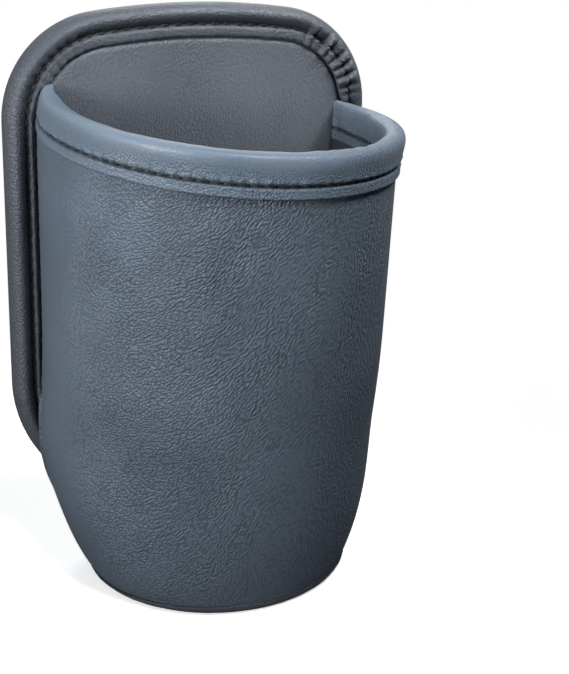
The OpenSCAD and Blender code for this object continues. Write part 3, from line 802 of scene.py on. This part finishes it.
def panelStitches():
    # one row in the front valley, and the same holes seen from the rear
    s = np.arange(stitchCount) * outlineLength / stitchCount
    reach = panel["pitch"] * strand["half"]
    by = strand["edgeWobble"]
    wobble = np.random.default_rng(7).uniform(-by, by, stitchCount)
    ends = []
    for y, way in strand["edgeRows"]:
        start = insetPoint(s - reach, panel["stitchIn"] + wobble, y)
        stop = insetPoint(s + reach, panel["stitchIn"] - wobble, y)
        ends.append((start, stop, np.tile([0.0, way, 0.0], (stitchCount, 1))))
    start, stop, out = (np.concatenate(part) for part in zip(*ends))
    return stitchRow("edgeStitches", start, stop, out, strand["edgeWide"], strand["edgeHigh"],
                     ["edge_stitching"])


def rimStitchRow(name, nodes, t, outward):
    f = np.arange(1, rim["stitches"]) / rim["stitches"]
    reach = strand["half"] / rim["stitches"]
    z = rimHeight(f) - rim["stitchDown"]
    start, stop = wallPoint(f - reach, z, t), wallPoint(f + reach, z, t)
    out = (wallPoint(f, z, t) - wallPoint(f, z, t + 1.0)) * outward
    out = out / np.linalg.norm(out, axis=1, keepdims=True)
    return stitchRow(name, start, stop, out, strand["rimWide"], strand["rimHigh"], nodes)


panelStitches()
rimStitchRow("rimStitchesOuter", ["rim_stitching_outer"], t=-0.25, outward=1)
rimStitchRow("rimStitchesInner", ["rim_stitching_inner"], t=3.05, outward=-1)
print("stitches made")


welt = {
    # height and depth, round the folded band
    "section": [(0.3, -0.45), (0.0, 0.2), (0.0, 1.5), (0.2, 2.7), (1.9, 2.7), (2.1, 1.2),
                (2.15, 0.1), (2.0, -0.45), (1.45, -0.72), (0.8, -0.7)],
    "rows": 620, "points": 44, "ribPitch": 2.6, "rib": 0.1, "ribAt": (1.9, 0.6), "wander": 0.07,
    # where painted shade darkens the band's top and its foot
    "topShadeAt": (2.1, 0.35), "footShadeAt": (0.0, 0.35), "grain": 0.5,
}


def weltPiece():
    # folded band round the base: a rounded section along the wall's foot, ribbed by its seam
    section = curvePath(welt["section"], welt["points"], closed=True)
    f = np.linspace(0, 1, welt["rows"])[:, None]
    z, t = section[:, 0][None, :], section[:, 1][None, :]
    run = f * pouch["run"]
    rib = np.abs(np.sin(np.pi * run / welt["ribPitch"])) ** 0.5 - 0.7
    rib = rib * bump(z, *welt["ribAt"]) * (t < 0)
    t2 = t + (welt["wander"] * noise1(run * 0.5, 21) - welt["rib"] * rib) * (t < 0)
    grid = wallPoint(f + 0 * z, z + 0 * f, t2)
    flat = np.stack(np.broadcast_arrays(run, z + t), -1)
    # painted shade along the band's top and its foot
    shade = 0.85 * bump(z, *welt["topShadeAt"]) + 0.6 * bump(z, *welt["footShadeAt"])
    return makeMesh("baseWelt", grid, loopFaces(grid), rollLeather, ["base_welt"],
                    flat, welt["grain"], np.clip(shade, 0, 1) + 0 * f)


base = {"footZ": 2.0, "arc": 150, "back": 50, "rings": 40, "uneven": 0.05, "patch": 6.0,
        "round": 0.25, "roundFrom": 0.97, "roundRun": 0.03, "grain": 0.8}


def floorSheet(name, material, nodes, low, high, t, lift):
    # D-shaped sheet following the wall's foot, in polar form, gently lifted in its middle
    arc = wallPoint(np.linspace(0, 1, base["arc"]), base["footZ"], t)
    edge = np.vstack([arc, np.linspace(arc[-1], arc[0], base["back"] + 2)[1:-1]])
    middle = np.array([0, edge[:, 1].mean(), 0])
    share = np.linspace(0.01, 1, base["rings"])[None, :]
    flat = middle + (edge[:, None, :] - middle) * share[..., None]
    x, y = flat[..., 0], flat[..., 1]
    rise = lift * (1 - share ** 2)
    rise = rise + base["uneven"] * noise2(x / base["patch"], y / base["patch"], 31)
    rounded = base["round"] * smoothStep((share - base["roundFrom"]) / base["roundRun"])
    grid = outAndBack(np.stack([x, y, low + rise + rounded], -1),
                      np.stack([x, y, high + rise - rounded], -1))
    points = np.vstack([grid.reshape(-1, 3), grid[:, 0].mean(0), grid[:, -1].mean(0)])
    return makeMesh(name, points, polarFaces(grid), material, nodes, points[:, :2],
                    base["grain"])


flap = {
    # y and height: from under the base up behind the pouch, and over onto the facing
    "path": [(-12.5, 0.45), (-10.6, 0.4), (-9.85, 1.2), (-9.62, 3.0), (-9.62, 20.0),
             (-9.62, 40.0), (-9.5, 46.2), (-8.3, 50.0), (-7.3, 52.6), (-7.2, 56.0), (-7.2, 59.6)],
    "count": 90, "thick": 0.38, "over": 0.25, "sag": 0.12, "grain": 0.8,
    "underY": -10.2, "underHalf": 28.2,  # narrower under the base
    "wallLow": 2.0, "wallHigh": 46.5,  # as wide as the wall's rear edges between these
    "tabZ": 46.8, "tabHalf": 20.6,  # the tab that is sewn to the facing
    "turnY": -10.0,  # lies flat in front of this, stands behind it
}


def flapPiece():
    # the underside's leather turned up behind the pouch, between the wall's rear edges
    path = curvePath(flap["path"], flap["count"])
    v = np.linspace(-1, 1, flap["count"])[:, None]
    y, z = path[:, 0][None, :], path[:, 1][None, :]
    ends = wallPoint(1.0, np.clip(z, flap["wallLow"], flap["wallHigh"]), 0.0)[..., 0] + flap["over"]
    half = np.where(z < flap["tabZ"], ends, flap["tabHalf"])
    x = v * np.where(y < flap["underY"], flap["underHalf"], half)
    sag = flap["sag"] * noise2(x / 7, z / 9, 51) * smoothStep((z - 3) / 8)
    z = z + 0 * x
    flat = y < flap["turnY"]
    frontY = np.where(flat, y, y - flap["thick"] - sag)
    rearY = np.where(flat, y, y + flap["thick"] - sag)
    frontZ, rearZ = (np.where(flat, z + way * flap["thick"], z) for way in (1, -1))
    grid = outAndBack(np.stack([x, frontY, frontZ], -1), np.stack([x, rearY, rearZ], -1))
    hideMap = np.stack([x, z], -1)
    return makeMesh("baseFlap", grid, loopFaces(grid), pouchLeather, ["base_outer"],
                    outAndBack(hideMap, hideMap), flap["grain"])


weltPiece()
floorSheet("baseUnderside", pouchLeather, ["base_outer"],
           low=0.0, high=0.75, t=2.75, lift=0.35)
flapPiece()
floorSheet("baseLining", liningLeather, ["base_lining"],
           low=2.35, high=3.05, t=2.95, lift=0.25)
print("base made")


pad = {
    "halfWide": 32.0, "halfHigh": 42.0, "corner": 8.0, "around": 240, "points": 60,
    "thick": 2.0, "reach": 30.0,  # the profile's columns reach in from the edge to the middle
    # growth beyond the outline and y, over the soft cut edge
    "profile": [(-30.0, -0.0), (-6.0, 0.0), (-0.6, 0.0), (-0.12, -0.12), (0.0, -0.5),
                (-0.15, -1.0), (0.0, -1.5), (-0.1, -1.95), (-0.6, -2.0), (-6.0, -2.0),
                (-30.0, -2.0)],
}


def padPiece():
    # foam pad: a rounded rectangle's outline carried through a softened edge profile
    a = np.linspace(0, 2 * np.pi, pad["around"], endpoint=False)[:, None]
    profile = curvePath(pad["profile"], pad["points"])
    grow, y = profile[:, 0][None, :], profile[:, 1][None, :]
    corner = pad["corner"]
    fade = np.clip((pad["reach"] + grow) / pad["reach"], 0.01, 1)
    edge = np.clip(grow, -1, 0) * (fade > 0.97)
    cx = np.sign(np.cos(a)) * (pad["halfWide"] - corner)
    cz = np.sign(np.sin(a)) * (pad["halfHigh"] - corner)
    x = (cx + corner * np.cos(a)) * fade + np.cos(a) * edge
    z = (cz + corner * np.sin(a)) * fade + np.sin(a) * edge
    grid = np.stack([x, y + 0 * x, z + padMiddle], -1)
    poles = [[0, 0, padMiddle], [0, -pad["thick"], padMiddle]]
    return makeMesh("foamPad", np.vstack([grid.reshape(-1, 3), poles]), polarFaces(grid), padFoam,
                    ["mounting_pad"])


padPiece()
for key, mat in {"back_board": fibreBoard, "back_foam": softFoam, "base_board": fibreBoard}.items():
    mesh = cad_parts[key].data  # hidden layers keep their own solid
    mesh.materials.clear()
    mesh.materials.append(mat)
print("pad made")


paper = {
    "near": 0.05, "far": 0.20,  # metres from the middle, from shaded to even white
    "nearMix": 0.5,  # share of even white close to the object
    "white": 3.2,  # seen by the camera only: the narrow lamps miss the paper
    "bounce": "#505256",  # what it gives back to the object
    "side": 6.0, "gap": 0.0004,
}


def byRay(tree, others, camera):  # one shader for what the camera sees, another for other rays
    ray = addNode(tree, "ShaderNodeLightPath").outputs["Is Camera Ray"]
    return addNode(tree, "ShaderNodeMixShader", None,
                   {0: ray, 1: others.outputs[0], 2: camera.outputs[0]}).outputs[0]


def makeFloor():
    # white paper: lit near the object so that its shadow shows, an even white further off
    mat = bpy.data.materials.new("whitePaper")
    mat.use_nodes = True
    tree = mat.node_tree
    tree.nodes.clear()
    spot = addNode(tree, "ShaderNodeTexCoord").outputs["Object"]
    away = addNode(tree, "ShaderNodeVectorMath", None, {0: spot}, operation="LENGTH")
    fade = remap(tree, away.outputs["Value"], paper["near"], paper["far"], paper["nearMix"], 1.0,
                 "SMOOTHSTEP")
    lit = addNode(tree, "ShaderNodeBsdfDiffuse", {"Color": (*[paper["white"]] * 3, 1)})
    even = addNode(tree, "ShaderNodeEmission", {"Color": (1, 1, 1, 1), "Strength": 1.0})
    seen = addNode(tree, "ShaderNodeMixShader", None,
                   {0: fade, 1: lit.outputs[0], 2: even.outputs[0]})
    back = addNode(tree, "ShaderNodeBsdfDiffuse", {"Color": fromHex(paper["bounce"])})
    addNode(tree, "ShaderNodeOutputMaterial", None, {"Surface": byRay(tree, back, seen)})
    mesh = bpy.data.meshes.new("floor")
    side, z = paper["side"], -padMiddle * mm - paper["gap"]
    corners = [(-side, -side, z), (side, -side, z), (side, side, z), (-side, side, z)]
    mesh.from_pydata(corners, [], [(0, 1, 2, 3)])
    mesh.materials.append(mat)
    newObject("floor", mesh)


def makeWorld():
    # weak cool light from all round, and plain white behind the object
    world = bpy.data.worlds.new("studio")
    bpy.context.scene.world = world
    world.use_nodes = True
    tree = world.node_tree
    soft = tree.nodes["Background"]
    soft.inputs["Color"].default_value = (0.88, 0.94, 1.0, 1)
    soft.inputs["Strength"].default_value = 0.08
    white = addNode(tree, "ShaderNodeBackground", {"Color": (1, 1, 1, 1), "Strength": 1.0})
    tree.links.new(byRay(tree, soft, white), tree.nodes["World Output"].inputs["Surface"])


lamps = {
    # places, targets and sizes in metres, power in watts, spread in degrees
    "keyLamp": {"place": (0.01, -0.25, 0.36), "target": (-0.03, -0.06, 0.09), "size": 0.14,
                "power": 0.106, "colour": (0.94, 0.965, 1.0), "spread": 53},
    "leftLamp": {"place": (-0.40, -0.20, 0.10), "target": (-0.04, -0.03, 0.03), "size": 0.2,
                 "power": 0.12, "colour": (1.0, 0.99, 0.99), "spread": 40},
    "cornerLamp": {"place": (0.23, -0.15, 0.37), "target": (0.045, -0.006, 0.07), "size": 0.12,
                   "power": 0.05, "colour": (1.0, 0.99, 0.96), "spread": 24},
    "backLamp": {"place": (0.22, 0.50, 0.30), "target": (0, 0, 0), "size": 0.3,
                 "power": 0.9, "colour": (0.97, 0.99, 1.0), "spread": 180},
}


def addLamp(name, place, target, size, power, colour, spread):
    data = bpy.data.lights.new(name, "AREA")
    data.shape, data.size, data.energy, data.color = "DISK", size, power, colour
    data.spread = math.radians(spread)
    lamp = newObject(name, data)
    lamp.location = place
    lamp.rotation_euler = (Vector(target) - Vector(place)).to_track_quat("-Z", "Y").to_euler()


view = {
    # as fitted to the outline, seams and stitch rows of the photograph
    "place": (-0.13262350, -0.31344069, 0.10156667), "aim": (0.01755605, -0.0262, -0.01807057),
    "roll": 2.0493, "lens": 71.0134, "sensor": 36.0,
}


def makeCamera():
    data = bpy.data.cameras.new("camera")
    data.sensor_fit, data.sensor_height, data.lens = "VERTICAL", view["sensor"], view["lens"]
    data.clip_start, data.clip_end = 0.01, 20
    camera = newObject("camera", data)
    place, aim = Vector(view["place"]), Vector(view["aim"])
    turn = (aim - place).to_track_quat("-Z", "Y").to_matrix()
    tilt = Matrix.Rotation(math.radians(view["roll"]), 3, "Z")
    camera.matrix_world = Matrix.Translation(place) @ (turn @ tilt).to_4x4()
    bpy.context.scene.camera = camera


makeFloor()
makeWorld()
for key, lamp in lamps.items():
    addLamp(key, **lamp)
makeCamera()
bpy.context.scene.view_settings.view_transform = "Standard"
